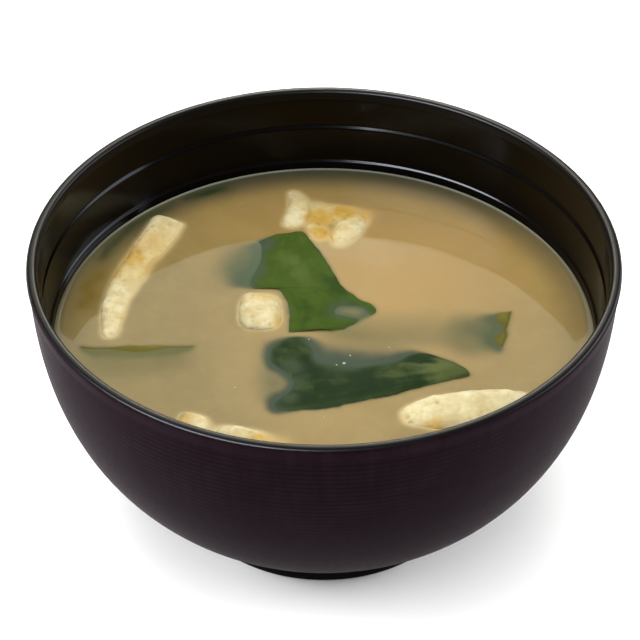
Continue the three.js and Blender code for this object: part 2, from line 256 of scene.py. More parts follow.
def add_softbox(name, azimuth, elevation, distance, size, radiance, colour=(1, 1, 1), shows="both"):
    """A rectangle of light that faces the bowl, with its distance and size in metres.

    Azimuth 0 is +Y and 90 is +X. It shows in both ways, or only as light on the surfaces, or only
    as its mirror image in their gloss.
    """
    data = bpy.data.lights.new(name, "AREA")
    data.shape = "RECTANGLE"
    data.size, data.size_y = size
    data.energy = radiance * math.pi * size[0] * size[1]
    data.color = colour
    light = bpy.data.objects.new(name, data)
    turn, rise = math.radians(azimuth), math.radians(elevation)
    towards = Vector((math.sin(turn) * math.cos(rise), math.cos(turn) * math.cos(rise), math.sin(rise)))
    light.location = towards * distance + Vector((0, 0, HEIGHT * MM))
    light.rotation_euler = towards.to_track_quat("Z", "Y").to_euler()
    light.visible_glossy = shows != "light"
    light.visible_diffuse = shows != "gloss"
    bpy.context.scene.collection.objects.link(light)


def add_light():
    world = bpy.data.worlds.new("studio")
    world.use_nodes = True
    world.node_tree.nodes["Background"].inputs["Color"].default_value = (1, 1, 1, 1)
    world.node_tree.nodes["Background"].inputs["Strength"].default_value = 0.25
    bpy.context.scene.world = world
    bpy.context.scene.view_settings.view_transform = "Standard"
    bluish = (0.84, 0.90, 1.0)
    add_softbox("back_panel", -5, 42, 0.9, (0.66, 0.45), 1.85, (0.97, 1.0, 0.86))
    add_softbox("back_card", 1, 30, 0.9, (0.14, 0.14), 40.0, (1.0, 0.92, 0.82), shows="gloss")
    add_softbox("left_card", -131, 45, 0.9, (0.9, 0.24), 50.0, bluish, shows="gloss")
    add_softbox("right_card", 76, 20, 0.9, (0.8, 0.28), 8.0, bluish, shows="gloss")
    add_softbox("top_box", -20, 80, 1.2, (1.1, 1.1), 3.2, shows="light")
    add_softbox("front_fill", 180, 60, 1.1, (1.2, 0.7), 3.6, shows="light")
    add_softbox("left_box", -78, 11, 0.8, (0.5, 0.5), 19.0, shows="light")
    add_softbox("right_box", 76, 12, 0.8, (0.5, 0.5), 11.5, shows="light")


# ---------------------------------------------------------------- material helpers


def new_material(name, **settings):
    """A Principled material; settings are the shader's sockets, with _ for a space."""
    material = bpy.data.materials.new(name)
    material.use_nodes = True
    shader = material.node_tree.nodes["Principled BSDF"]
    for socket, value in settings.items():
        shader.inputs[socket.replace("_", " ")].default_value = value
    return material, material.node_tree, shader


def add_node(tree, kind, inputs=None, **settings):
    node = tree.nodes.new(kind)
    for name, value in settings.items():
        setattr(node, name, value)
    for key, value in (inputs or {}).items():
        if isinstance(value, bpy.types.NodeSocket):
            tree.links.new(value, node.inputs[key])
        else:
            node.inputs[key].default_value = value
    return node


def noise_field(tree, size, detail, stretch=(1, 1, 1), distortion=0.0):
    """Noise from 0 to 1 whose features are about size millimetres across."""
    coordinates = add_node(tree, "ShaderNodeTexCoord")
    mapping = add_node(tree, "ShaderNodeMapping",
                       {"Vector": coordinates.outputs["Object"], "Scale": stretch})
    inputs = {"Vector": mapping.outputs[0], "Scale": 1 / (size * MM), "Detail": detail,
              "Roughness": 0.55, "Distortion": distortion}
    return add_node(tree, "ShaderNodeTexNoise", inputs).outputs["Fac"]


def remap(tree, value, low, high, to_low=0.0, to_high=1.0):
    """The value, eased from the range low to high into the range to_low to to_high."""
    inputs = {"Value": value, "From Min": low, "From Max": high, "To Min": to_low, "To Max": to_high}
    return add_node(tree, "ShaderNodeMapRange", inputs, interpolation_type="SMOOTHSTEP").outputs[0]


def mixed(tree, factor, first, second):
    """The first colour where the factor is 0 and the second where it is 1."""
    def colour(value):
        return value if isinstance(value, bpy.types.NodeSocket) else (*value, 1)
    inputs = {0: factor, 6: colour(first), 7: colour(second)}
    return add_node(tree, "ShaderNodeMix", inputs, data_type="RGBA").outputs[2]


def calculated(tree, operation, first, second):
    return add_node(tree, "ShaderNodeMath", {0: first, 1: second}, operation=operation).outputs[0]


def stored(tree, name):
    """The attribute of that name, which the mesh holds at its points."""
    return add_node(tree, "ShaderNodeAttribute", attribute_name=name).outputs["Fac"]


def part_of(tree, name, amount):
    return calculated(tree, "MULTIPLY", stored(tree, name), amount)


def bump(tree, shader, height, depth, strength):
    """Relief of the given depth in millimetres."""
    inputs = {"Height": height, "Distance": depth * MM, "Strength": strength}
    tree.links.new(add_node(tree, "ShaderNodeBump", inputs).outputs[0], shader.inputs["Normal"])


def connect(tree, shader, **sockets):
    for socket, value in sockets.items():
        tree.links.new(value, shader.inputs[socket.replace("_", " ")])


# ---------------------------------------------------------------- mesh helpers


def mesh_object(name, points, faces, materials, face_materials=None, attributes=None):
    """A smooth mesh object from points in millimetres."""
    mesh = bpy.data.meshes.new(name)
    mesh.from_pydata((np.asarray(points, float) * MM).tolist(), [], faces)
    mesh.shade_smooth()
    for material in materials:
        mesh.materials.append(material)
    if face_materials is not None:
        mesh.polygons.foreach_set("material_index", np.asarray(face_materials, np.int32))
    store(mesh, attributes or {})
    piece = bpy.data.objects.new(name, mesh)
    bpy.context.scene.collection.objects.link(piece)
    outward_normals(mesh)
    return piece


def store(mesh, attributes):
    """Keep a number at each point of the mesh for each named attribute."""
    for name, values in attributes.items():
        data = mesh.attributes.new(name, "FLOAT", "POINT").data
        data.foreach_set("value", np.asarray(values, np.float32))


def outward_normals(mesh):
    edit = bmesh.new()
    edit.from_mesh(mesh)
    bmesh.ops.recalc_face_normals(edit, faces=edit.faces)
    edit.to_mesh(mesh)
    edit.free()


def weld(piece, distance):
    edit = bmesh.new()
    edit.from_mesh(piece.data)
    bmesh.ops.remove_doubles(edit, verts=edit.verts, dist=distance * MM)
    edit.to_mesh(piece.data)
    edit.free()


def place(piece, slot, *nodes):
    """Put the piece on the one body and hide the nodes that it replaces; slot is not used."""
    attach(piece, "root")
    if nodes:
        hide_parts(*nodes)


def points_of(mesh):
    """The points of the mesh in millimetres."""
    flat = np.empty(len(mesh.vertices) * 3, np.float32)
    mesh.vertices.foreach_get("co", flat)
    return flat.reshape(-1, 3) / MM


def smoothstep(low, high, value):
    t = np.clip((value - low) / (high - low), 0, 1)
    return t * t * (3 - 2 * t)


def fractal(points, size, octaves):
    """Noise from about -1 to 1 at each point, in features of about size millimetres."""
    scaled = (np.asarray(points) / size).tolist()
    return np.array([noise.fractal(Vector(p), 1.0, 2.0, octaves) for p in scaled])


def ring_faces(rows, count):
    """Quads between each of rows rings of count points and the next."""
    i, j = np.meshgrid(np.arange(rows - 1), np.arange(count), indexing="ij")
    onward = (j + 1) % count
    near, far = i * count, (i + 1) * count
    return np.stack([near + j, near + onward, far + onward, far + j], -1).reshape(-1, 4)


def grid_faces(index):
    """Quads between neighbours in a grid of the points' numbers."""
    corners = [index[:-1, :-1], index[1:, :-1], index[1:, 1:], index[:-1, 1:]]
    return np.stack(corners, -1).reshape(-1, 4)


# ---------------------------------------------------------------- the bowl


def wall_radius(curve, z):
    t = np.minimum(1, (HEIGHT - z + curve["above_rim"]) / curve["depth"])
    return curve["radius"] * np.sqrt(np.maximum(0, 1 - t ** curve["power"]))


def inside_radius(z):
    """The wall's inside, which narrows at its step and again at the wet ledge."""
    step = STEP_IN * (1 - np.clip((HEIGHT - z - STEP_BELOW_RIM) / STEP_DROP, 0, 1))
    ledge = WET_EDGE["in"] * smoothstep(0, WET_EDGE["drop"], LEDGE_TOP - z)
    return wall_radius(INSIDE, z) + step - ledge


def rounded(corners, radius):
    """The corners of an open outline, each inner one turned into a short arc."""
    corners = [np.array(c, float) for c in corners]
    outline = [corners[0]]
    for before, corner, after in zip(corners, corners[1:], corners[2:]):
        reach = [min(radius, np.linalg.norm(p - corner) * 0.45) for p in (before, after)]
        start = corner + (before - corner) / np.linalg.norm(before - corner) * reach[0]
        end = corner + (after - corner) / np.linalg.norm(after - corner) * reach[1]
        for t in np.linspace(0, 1, ARC_STEPS + 1):
            outline.append(start * (1 - t) ** 2 + 2 * corner * t * (1 - t) + end * t * t)
    return np.array(outline + [corners[-1]])


def foot_outline():
    inner = FOOT["radius"] - FOOT["ring"]
    top = FOOT["radius"] - FOOT["draw"]
    corners = [
        [0, FOOT["recess"]], [inner - RECESS_LOOP, FOOT["recess"]], [inner, FOOT["recess"]],
        [inner, FOOT["bevel"]], [inner + FOOT["bevel"], 0], [FOOT["radius"] - FOOT["bevel"], 0],
        [FOOT["radius"], FOOT["bevel"]], [top, FOOT["height"]],
        [wall_radius(BODY, FOOT["height"] + FOOT["bevel"]), FOOT["height"] + FOOT["bevel"]],
    ]
    return rounded(corners, FOOT["rounding"])


def grooved_outline():
    """Points up the side with their groove depth, from 0 on a ridge to 1 in a groove."""
    z = np.linspace(FOOT["height"] + FOOT["bevel"], HEIGHT - LIP_BAND, OUTLINE_SAMPLES)
    r = wall_radius(BODY, z)
    along = np.concatenate([[0], np.cumsum(np.hypot(np.diff(r), np.diff(z)))])
    turns = round(along[-1] / GROOVE_PITCH)
    stops = np.array([0, 0.16, 0.34, 0.5, 0.66, 0.84])
    depths = np.array([1, 0.7, 0.2, 0, 0.2, 0.7])
    s = (np.arange(turns)[:, None] + stops).ravel() * along[-1] / turns
    depth = np.tile(depths, turns)
    outline = np.stack([np.interp(s, along, r), np.interp(s, along, z)], 1)
    return outline[1:], depth[1:]  # the foot's outline ends where the first groove would be


def lip_outline():
    radius = LIP_WIDTH / 2
    turn = np.linspace(0, math.pi, LIP_ROWS)
    across = np.sign(np.cos(turn)) * np.abs(np.cos(turn)) ** (2 / LIP_SQUARENESS)
    up = np.sin(turn) ** (2 / LIP_SQUARENESS)
    arc = np.stack([RIM_RADIUS - radius + radius * across, HEIGHT - radius + radius * up], 1)
    edge = HEIGHT - LIP_BAND
    return np.vstack([[wall_radius(BODY, edge), edge], arc])


def inside_outline():
    step = HEIGHT - STEP_BELOW_RIM
    step_end = step - STEP_DROP
    ledge_end = LEDGE_TOP - WET_EDGE["drop"]
    fine_end = LEVEL - FINE_DEPTH
    # Stretches of the wall from the lip down: top, bottom and number of rows.
    stretches = [
        (HEIGHT - LIP_WIDTH, step + 0.1, 10),
        (step, step_end, 5),
        (step_end - 0.2, LEDGE_TOP + 0.1, 10),
        (LEDGE_TOP, ledge_end, 7),
        (ledge_end - 0.1, fine_end, 6),
    ]
    bottom = fine_end - (fine_end - FLOOR) * np.sin(np.linspace(0.08, 1, 18) * math.pi / 2)
    z = np.concatenate([*(np.linspace(*stretch) for stretch in stretches), bottom])
    outline = np.stack([inside_radius(z), z], 1)
    outline[-1, 0] = 0
    return outline


def groove_cuts(depth, first_row, rows, around):
    """How deep each point lies in a groove, from 0 to about 1, uneven round the bowl."""
    cuts = np.zeros((rows, SEGMENTS))
    for row, row_depth in enumerate(depth, first_row):
        sample = np.column_stack([around * 3, np.full(SEGMENTS, row * 0.09)])
        wear = 0.75 + 0.35 * fractal(sample, 1, 2)
        cuts[row] = row_depth * np.clip(wear, 0.3, 1.1)
    return cuts


def turned_points(outline, cuts, around):
    """The outline turned round the axis, with its grooves cut square to the surface."""
    tangent = np.gradient(outline, axis=0)
    tangent /= np.linalg.norm(tangent, axis=1)[:, None]
    r = outline[:, 0, None] - GROOVE_DEPTH * cuts * np.abs(tangent[:, 1, None])
    z = outline[:, 1, None] + GROOVE_DEPTH * cuts * tangent[:, 0, None]
    return np.stack([r * around[:, 0], r * around[:, 1], z], -1).reshape(-1, 3)


def build_bowl(materials):
    """The whole bowl, with the materials of its foot, outside, lip and inside."""
    side, depth = grooved_outline()
    parts = [foot_outline(), side, lip_outline(), inside_outline()]
    outline = np.vstack(parts)
    rows = len(outline)
    first_side, first_lip, first_inside = np.cumsum([len(part) for part in parts[:3]])
    turn = np.arange(SEGMENTS) * 2 * math.pi / SEGMENTS
    around = np.stack([np.cos(turn), np.sin(turn)], 1)
    cuts = groove_cuts(depth, first_side, rows, around)
    zones = np.zeros(rows - 1, int)  # the material of each ring of faces
    zones[first_side - 1:] = 1
    zones[first_lip + SHOULDER_ROWS:] = 2
    zones[first_inside:] = 3
    piece = mesh_object("turned_bowl", turned_points(outline, cuts, around),
                        ring_faces(rows, SEGMENTS).tolist(), materials,
                        np.repeat(zones, SEGMENTS), {"groove": cuts.ravel()})
    weld(piece, 0.001)
    place(piece, "bowl", "bowl")


def lacquer_outside():
    material, tree, shader = new_material(
        "bowl_outside_lacquer", Specular_IOR_Level=0.004, Sheen_Weight=0.025, Sheen_Roughness=0.45,
        Sheen_Tint=(1.0, 0.86, 0.94, 1))
    cloud = remap(tree, noise_field(tree, 9, 4), 0.35, 0.7)
    fine = noise_field(tree, 0.6, 2, stretch=(1, 1, 3))
    streak = remap(tree, noise_field(tree, 1.6, 2, stretch=(1, 1, 0.12)), 0.3, 0.7, 0.0, 0.5)
    ground = mixed(tree, cloud, (0.0088, 0.0040, 0.0064), (0.0112, 0.0058, 0.0088))
    streaked = mixed(tree, streak, ground, (0.0056, 0.0024, 0.0040))
    # darker in the grooves: painted shade
    groove_shaded = mixed(tree, stored(tree, "groove"), streaked, (0.0042, 0.0018, 0.0030))
    shade = remap(tree, fine, 0.3, 0.8, 0.36, 0.5)
    connect(tree, shader, Base_Color=groove_shaded, Roughness=shade)
    bump(tree, shader, fine, 0.02, 0.6)
    return material


def lacquer_black(name, roughness, specular):
    material, tree, shader = new_material(name, Specular_IOR_Level=specular)
    cloud = remap(tree, noise_field(tree, 14, 3), 0.35, 0.7)
    colour = mixed(tree, cloud, (0.0008, 0.0005, 0.0004), (0.0018, 0.0010, 0.0007))
    shade = remap(tree, noise_field(tree, 3, 3), 0.3, 0.75, roughness, roughness + 0.03)
    connect(tree, shader, Base_Color=colour, Roughness=shade)
    bump(tree, shader, noise_field(tree, 5, 2), 0.004, 0.5)
    return material


# ---------------------------------------------------------------- wakame


def smooth_curve(points, u):
    """Points at u, from 0 to 1, of the centripetal Catmull-Rom curve through points."""
    p = np.asarray(points, float)
    p = np.vstack([2 * p[0] - p[1], p, 2 * p[-1] - p[-2]])
    t = np.linspace(0, 1, CURVE_STEPS, endpoint=False)[:, None]
    pieces = []
    for p0, p1, p2, p3 in zip(p, p[1:], p[2:], p[3:]):
        d0, d1, d2 = (math.sqrt(np.linalg.norm(b - a)) for a, b in ((p0, p1), (p1, p2), (p2, p3)))
        leave = d1 * ((p1 - p0) / d0 - (p2 - p0) / (d0 + d1) + (p2 - p1) / d1)
        arrive = d1 * ((p2 - p1) / d1 - (p3 - p1) / (d1 + d2) + (p3 - p2) / d2)
        square, cube = 3 * (p2 - p1) - 2 * leave - arrive, 2 * (p1 - p2) + leave + arrive
        pieces.append(p1 + leave * t + square * t ** 2 + cube * t ** 3)
    dense = np.vstack([*pieces, p[-2]])
    index = np.asarray(u) * (len(dense) - 1)
    return np.stack([np.interp(index, np.arange(len(dense)), dense[:, k]) for k in range(3)], -1)


def leaf_sheet(leaf):
    """The middle of a leaf as a grid of points, in cells LEAF_CELL wide, with ragged edges."""
    edges = [smooth_curve(leaf[side], np.linspace(0, 1, 50)) for side in ("left", "right")]
    length = max(np.linalg.norm(np.diff(edge, axis=0), axis=1).sum() for edge in edges)
    breadth = np.linalg.norm(edges[0] - edges[1], axis=1).max()
    u = np.linspace(0, 1, round(length / LEAF_CELL) + 1)
    v = np.linspace(0, 1, round(breadth / LEAF_CELL) + 1)
    left = smooth_curve(leaf["left"], u)[:, None]
    right = smooth_curve(leaf["right"], u)[:, None]
    sheet = left + (right - left) * v[None, :, None]
    waves = leaf["waves"]
    wave = np.sin(2 * math.pi * waves[0] * u + 1)[:, None] * np.sin(
        2 * math.pi * waves[1] * v[None] + 2 * u[:, None])
    sheet[..., 2] += LEVEL + leaf["arch"] * np.sin(math.pi * v) + leaf["ripple"] * wave
    for x, y, radius, depth in leaf["dips"]:
        away = ((sheet[..., 0] - x) ** 2 + (sheet[..., 1] - y) ** 2) / radius ** 2
        sheet[..., 2] -= depth * np.exp(-away)
    flat = sheet.reshape(-1, 3)
    wobble = np.column_stack([fractal(flat + shift, 3.5, 3) for shift in (0, 40)])
    sheet[..., :2] += WOBBLE * wobble.reshape(*sheet.shape[:2], 2)
    return sheet


def soft_patches(x, y, patches):
    """From 0 outside the patches, each [x, y, radius], to 1 in the middle of one."""
    cover = np.zeros(np.shape(x))
    for cx, cy, radius in patches:
        cover = np.maximum(cover, np.exp(-(((x - cx) ** 2 + (y - cy) ** 2) / radius ** 2) ** 1.5))
    return cover


def leaf_tone(name, sheet, veins):
    """From 0 where a leaf is darkest to 1 where it is lightest."""
    tone = 0.5 + 0.16 * veins
    for x, y, radius, amount in PALE.get(name, []):
        tone += amount * np.exp(-((sheet[..., 0] - x) ** 2 + (sheet[..., 1] - y) ** 2) / radius ** 2)
    return np.clip(tone, 0, 1)


def edge_distance(sheet):
    """How far each point of a sheet is from its nearest edge."""
    rows, across = sheet.shape[:2]
    i, j = np.indices((rows, across))
    step_along, step_across = (np.linalg.norm(np.diff(sheet, axis=k), axis=2).mean() for k in (0, 1))
    from_ends = np.minimum(i, rows - 1 - i) * step_along
    from_sides = np.minimum(j, across - 1 - j) * step_across
    return np.minimum(from_ends, from_sides)


def veins_of(sheet):
    """Streaks that run along a sheet, from about -1 to 1."""
    rows, across = sheet.shape[:2]
    i, j = (steps.ravel() for steps in np.indices((rows, across)))
    step_across = np.linalg.norm(np.diff(sheet, axis=1), axis=2).mean()
    streaks = [i / rows * VEINS_ALONG, j * step_across / VEIN_WIDTH, np.zeros(i.size)]
    return fractal(np.column_stack(streaks), 1, 3).reshape(rows, across)


def leaf_skin(sheet, inset, veins):
    """The points of a leaf's top and then of its underside, which meet at its edges."""
    rim = np.clip(1 - inset / LEAF_ROUNDING, 0, 1)
    taper = 0.62 + 0.38 * smoothstep(0, LEAF_TAPER, inset)
    half = LEAF_THICKNESS / 2 * np.sqrt(1 - rim ** 2) * taper
    creases = fractal(sheet.reshape(-1, 3), 1.6, 3).reshape(inset.shape)
    lift = (RELIEF * veins + RELIEF * creases) * (1 - rim)
    top, under = sheet.copy(), sheet.copy()
    top[..., 2] += half + lift
    under[..., 2] -= half - lift
    return np.vstack([top.reshape(-1, 3), under.reshape(-1, 3)])


def leaf_piece(name, leaf, material):
    """A closed leaf, with what its material needs: thin edges, tone, and where soup covers it."""
    sheet = leaf_sheet(leaf)
    inset = edge_distance(sheet)
    veins = veins_of(sheet)
    points = leaf_skin(sheet, inset, veins)
    quads = grid_faces(np.arange(inset.size).reshape(inset.shape))
    faces = np.vstack([quads, quads[:, ::-1] + inset.size])
    film = 1 - smoothstep(0, AWASH, points[:, 2] - LEVEL)
    attributes = {
        "thin": np.tile((1 - smoothstep(0, THIN_EDGE, inset)).ravel(), 2),
        "tone": np.tile(leaf_tone(name, sheet, veins).ravel(), 2),
        "awash": np.maximum(film, soft_patches(points[:, 0], points[:, 1], MILKY.get(name, []))),
    }
    piece = mesh_object("leaf_" + name, points, faces.tolist(), [material], attributes=attributes)
    weld(piece, 0.002)
    return piece


def wakame_flesh(kind):
    flesh = WAKAME_COLOURS[kind]
    material, tree, shader = new_material(
        kind + "_wakame", Specular_IOR_Level=0.012, Subsurface_Weight=0.1, Subsurface_Scale=0.001)
    patches = remap(tree, noise_field(tree, 6, 3), 0.35, 0.65, -0.14, 0.14)
    tone = calculated(tree, "ADD", stored(tree, "tone"), patches)
    body = mixed(tree, remap(tree, tone, 0.0, 0.5), flesh["deep"], flesh["middle"])
    body = mixed(tree, remap(tree, tone, 0.5, 1.0), body, flesh["light"])
    colour = mixed(tree, part_of(tree, "thin", 0.15), body, flesh["light"])
    colour = mixed(tree, part_of(tree, "awash", 0.9), colour, flesh["film"])
    shade = remap(tree, noise_field(tree, 2.5, 3), 0.3, 0.7, 0.42, 0.56)
    connect(tree, shader, Base_Color=colour, Roughness=shade)
    bump(tree, shader, noise_field(tree, 0.8, 3), 0.04, 0.5)
    return material


# ---------------------------------------------------------------- fried tofu


def remeshed_node(name, material):
    """A copy of the node's solid, rounded a little and with fine, even faces."""
    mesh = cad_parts[name].data.copy()
    mesh.name = "fried_" + name
    mesh.materials.clear()
    mesh.materials.append(material)
    piece = bpy.data.objects.new("fried_" + name, mesh)
    bpy.context.scene.collection.objects.link(piece)
    weld(piece, 0.01)
    for kind, settings in (("REMESH", {"mode": "VOXEL", "voxel_size": TOFU_VOXEL * MM}),
                           ("SMOOTH", {"factor": 0.6, "iterations": 5})):
        modifier = piece.modifiers.new(kind.lower(), kind)
        for key, value in settings.items():
            setattr(modifier, key, value)
    evaluated = piece.evaluated_get(bpy.context.evaluated_depsgraph_get())
    finished = bpy.data.meshes.new_from_object(evaluated)
    piece.modifiers.clear()
    piece.data = finished
    return piece


def tofu_piece(name, material):
    """The node's solid with the lumps, wrinkles and pores of fried tofu."""
    piece = remeshed_node(name, material)
    mesh = piece.data
    points = points_of(mesh)
    normals = np.array([vertex.normal for vertex in mesh.vertices])
    lumps = fractal(points, 5, 2)
    wrinkles = fractal(points, 1.7, 3)
    pores = pore_depth(points)
    skin = skin_cover(name, points)
    raised = (TOFU_RELIEF["lumps"] * lumps + TOFU_RELIEF["wrinkles"] * wrinkles
              - TOFU_RELIEF["pores"] * pores * (1 - 0.6 * skin))
    points += normals * raised[:, None]
    mesh.vertices.foreach_set("co", (points * MM).astype(np.float32).ravel())
    mesh.update()
    mesh.shade_smooth()
    awash = 1 - smoothstep(0, TOFU_SOAKED, points[:, 2] - LEVEL)
    store(mesh, {"skin": skin, "pore": pores, "awash": awash})
    return piece


def pore_depth(points):
    """From 0 on the flesh to 1 in the middle of a pore; pores crowd in some places."""
    depth = np.zeros(len(points))
    for spacing, radius, seed in PORES:
        crowd = np.clip(0.5 + 0.9 * fractal(points + seed, 5, 1), 0, 1)
        for k, p in enumerate(((points + seed) / spacing).tolist()):
            nearest = noise.voronoi(Vector(p))[0][0] * spacing
            depth[k] = max(depth[k], max(0, 1 - nearest / radius) * crowd[k])
    return np.clip(depth * 1.4, 0, 1)


def skin_patches(name, x, y):
    """From 0 on bare flesh to 1 on fried skin, at x and y."""
    return np.max([golden * (1 - smoothstep(radius * 0.35, radius * 1.1, np.hypot(x - cx, y - cy)))
                   for cx, cy, radius, golden in SKIN[name]], axis=0)


def skin_cover(name, points):
    """The skin patches at the points, with ragged outlines."""
    ragged = 0.8 * np.column_stack([fractal(points + shift, 2.5, 3) for shift in (0, 30)])
    return skin_patches(name, points[:, 0] + ragged[:, 0], points[:, 1] + ragged[:, 1])


def tofu_flesh():
    material, tree, shader = new_material(
        "fried_tofu_flesh", Specular_IOR_Level=0.08, Subsurface_Weight=0.25, Subsurface_Scale=0.0015)
    patches = remap(tree, noise_field(tree, 4, 4), 0.35, 0.7)
    flesh = mixed(tree, patches, (0.41, 0.335, 0.165), (0.53, 0.475, 0.295))
    browning = remap(tree, noise_field(tree, 2.2, 4), 0.3, 0.7)
    fried = mixed(tree, browning, (0.35, 0.205, 0.034), (0.42, 0.28, 0.064))
    soaked = mixed(tree, part_of(tree, "awash", 0.7), flesh, (0.42, 0.34, 0.17))
    surface = mixed(tree, stored(tree, "skin"), soaked, fried)
    # darker in the pores: painted shade
    colour = mixed(tree, part_of(tree, "pore", 0.5), surface, (0.22, 0.16, 0.07))
    shade = remap(tree, noise_field(tree, 1.2, 3), 0.3, 0.7, 0.42, 0.62)
    connect(tree, shader, Base_Color=colour, Roughness=shade)
    bump(tree, shader, noise_field(tree, 0.45, 4), 0.14, 0.7)
    return material


# ---------------------------------------------------------------- the soup

# The square grid that heights and tints are worked out on.
FIELD_CELL = 0.4
FIELD_HALF = 58.0

SOUP_CELLS = 252
CREEP_RINGS = 14
WALL_RINGS = 9
TOUCH = 0.05  # how far the soup reaches into the wall, so that no gap shows
TOFU_PULL = 0.04  # how far the soup rises round tofu that stands out of it
SWELL = 0.03  # how uneven its surface is
SOFT_EDGE = 0.8  # blur of the edge of tofu and of its skin

# Depth at which what is sunk has lost about two thirds of its tint.
LEAF_FADE = 2.0
CREAM_FADE = 0.8
FLESH_FADE = 0.35

BACK_SHADE_WIDTH = 9.0  # of the wide shade along the wall, which is deepest at the back
FILM_WIDTH = 3.2  # of the darker band where the soup creeps up the wall: thin soup over black lacquer, and painted shade
# The pale line along the soup's edge is a painted highlight.
CONTACT_LINE = (0.55, 0.15)  # distances from the wall where the pale line starts and is full


def merged_tree(pieces):
    """One ray-casting tree, in millimetres, of several pieces."""
    points, faces = [], []
    for piece in pieces:
        start = len(points)
        points += points_of(piece.data).tolist()
        faces += [[start + k for k in polygon.vertices] for polygon in piece.data.polygons]
    return BVHTree.FromPolygons(points, faces)


def field_stops():
    return np.arange(-FIELD_HALF, FIELD_HALF + FIELD_CELL, FIELD_CELL)


def height_field(pieces):
    """Top of the pieces over a square grid, as height above the soup; -inf where there is none."""
    tree = merged_tree(pieces)
    stops = field_stops()
    field = np.full((len(stops), len(stops)), -np.inf)
    down = Vector((0, 0, -1))
    for i, x in enumerate(stops.tolist()):
        for j, y in enumerate(stops.tolist()):
            hit = tree.ray_cast(Vector((x, y, HEIGHT)), down)[0]
            if hit is not None:
                field[i, j] = hit.z - LEVEL
    return field


def blurred(field, spread):
    reach = int(3 * spread / FIELD_CELL) + 1
    kernel = np.exp(-0.5 * (np.arange(-reach, reach + 1) * FIELD_CELL / spread) ** 2)
    kernel /= kernel.sum()
    for axis in (0, 1):
        field = np.apply_along_axis(lambda row: np.convolve(row, kernel, "same"), axis, field)
    return field


def seen_through(field, fade):
    """How much of what is sunk shows at the surface: all of it at the top, less with depth."""
    depth = np.maximum(0, -field)
    shown = np.exp(-(depth / fade) ** 1.3)
    deep = smoothstep(0.1, 1.0, depth)
    near, far = shown * (1 - deep), shown * deep
    near[~np.isfinite(field)] = 0
    far[~np.isfinite(field)] = 0
    return np.clip(blurred(near, 0.4) + blurred(far, 1.4), 0, 1)


def sampled(field, x, y):
    i = np.clip((x + FIELD_HALF) / FIELD_CELL, 0, field.shape[0] - 1.001)
    j = np.clip((y + FIELD_HALF) / FIELD_CELL, 0, field.shape[1] - 1.001)
    a, b = i.astype(int), j.astype(int)
    s, t = i - a, j - b
    return (field[a, b] * (1 - s) * (1 - t) + field[a + 1, b] * s * (1 - t)
            + field[a, b + 1] * (1 - s) * t + field[a + 1, b + 1] * s * t)


def disc_grid(cells):
    """A square grid bent to a unit disc, with its quads and its border points in order."""
    side = np.linspace(-1, 1, cells + 1)
    a, b = np.meshgrid(side, side, indexing="ij")
    wide = np.abs(a) >= np.abs(b)
    with np.errstate(divide="ignore", invalid="ignore"):
        turn = np.where(wide, math.pi / 4 * b / a, math.pi / 2 - math.pi / 4 * a / b)
    reach = np.where(wide, a, b)
    turn[~np.isfinite(turn)] = 0
    xy = np.stack([reach * np.cos(turn), reach * np.sin(turn)], -1).reshape(-1, 2)
    index = np.arange(len(xy)).reshape(a.shape)
    border = np.concatenate([index[:-1, 0], index[-1, :-1], index[:0:-1, -1], index[0, :0:-1]])
    return xy, grid_faces(index), border


def wall_shade(x, y, edge):
    """From 0 in the open to 1 at the wall's foot, deepest at the back."""
    radius = np.hypot(x, y)
    behind = np.clip(y / np.maximum(radius, 1), 0, 1)
    wide = (1 - smoothstep(0, BACK_SHADE_WIDTH, edge - radius)) * (0.3 + 0.7 * behind)
    # thin soup over the black wall, with painted shade from the wall
    film = (1 - smoothstep(0, FILM_WIDTH, edge - radius)) * 0.8
    return np.maximum(wide, film)


def painted_contact_highlight(x, y, edge):
    """1 along the pale line where the soup ends on the wall, a painted highlight, which fades towards
    the front.
    """
    return smoothstep(*CONTACT_LINE, edge - np.hypot(x, y)) * smoothstep(0.1, 0.8, y / edge)


def soup_profile(edge):
    """Radius and height of the rings round the flat disc: up the wall, then down inside it."""
    profile = []
    for k in range(1, CREEP_RINGS + 1):
        part = 1 - k / CREEP_RINGS
        climb = 0.5 * (1 - part) ** 2 + 0.5 * (1 - part) ** 12
        profile.append((edge - part * CREEP_WIDTH, LEVEL + CREEP_RISE * climb))
    for k in range(1, WALL_RINGS + 1):
        z = SOUP_EDGE - (SOUP_EDGE - FLOOR) * math.sin(math.pi / 2 * k / WALL_RINGS)
        profile.append((inside_radius(z) + TOUCH if k < WALL_RINGS else 0.0, z))
    return profile


def soup_shape(edge):
    """Points and faces of the soup."""
    xy, quads, border = disc_grid(SOUP_CELLS)
    disc = np.column_stack([xy * (edge - CREEP_WIDTH), np.full(len(xy), LEVEL)])
    around = xy[border]
    rings = [np.column_stack([around * radius, np.full(len(around), z)])
             for radius, z in soup_profile(edge)]
    count, start = len(border), len(disc)
    loops = [border] + [start + count * k + np.arange(count) for k in range(len(rings))]
    skirts = [np.stack([a, b, np.roll(b, -1), np.roll(a, -1)], 1) for a, b in zip(loops, loops[1:])]
    return np.vstack([disc, *rings]), np.vstack([quads, *skirts])


